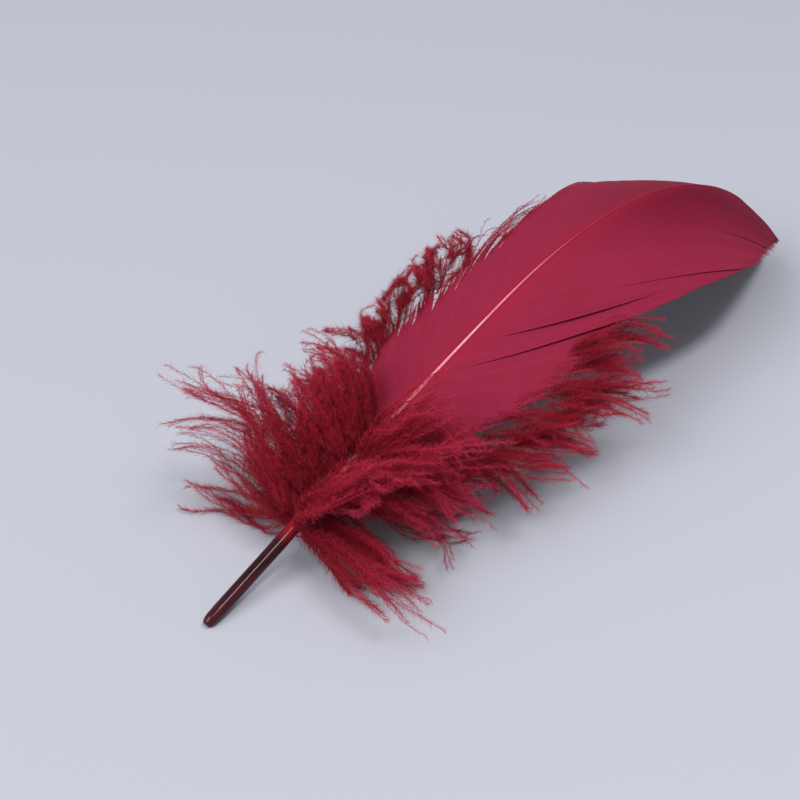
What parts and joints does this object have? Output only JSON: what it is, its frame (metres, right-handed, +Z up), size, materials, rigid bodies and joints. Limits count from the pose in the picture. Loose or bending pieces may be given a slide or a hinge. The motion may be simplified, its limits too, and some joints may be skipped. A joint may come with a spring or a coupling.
{
  "type": "feather",
  "caption": "Arched burgundy goose feather lying convex side up: blunt dark quill, tuft of down and a broad vane with splits along its barbs.",
  "frame": {"origin": "middle of the underside of the bounding box, on the surface that the feather lies on", "axes": "+X from the quill end towards the tip, +Z up from the surface, on the convex side"},
  "size_m": [0.155, 0.0616, 0.0302],
  "materials": {
    "vane": "satin",
    "quill": "gloss",
    "down": "matte"
  },
  "bodies": {
    "root": {"feather": "vane"}
  },
  "joints": []
}
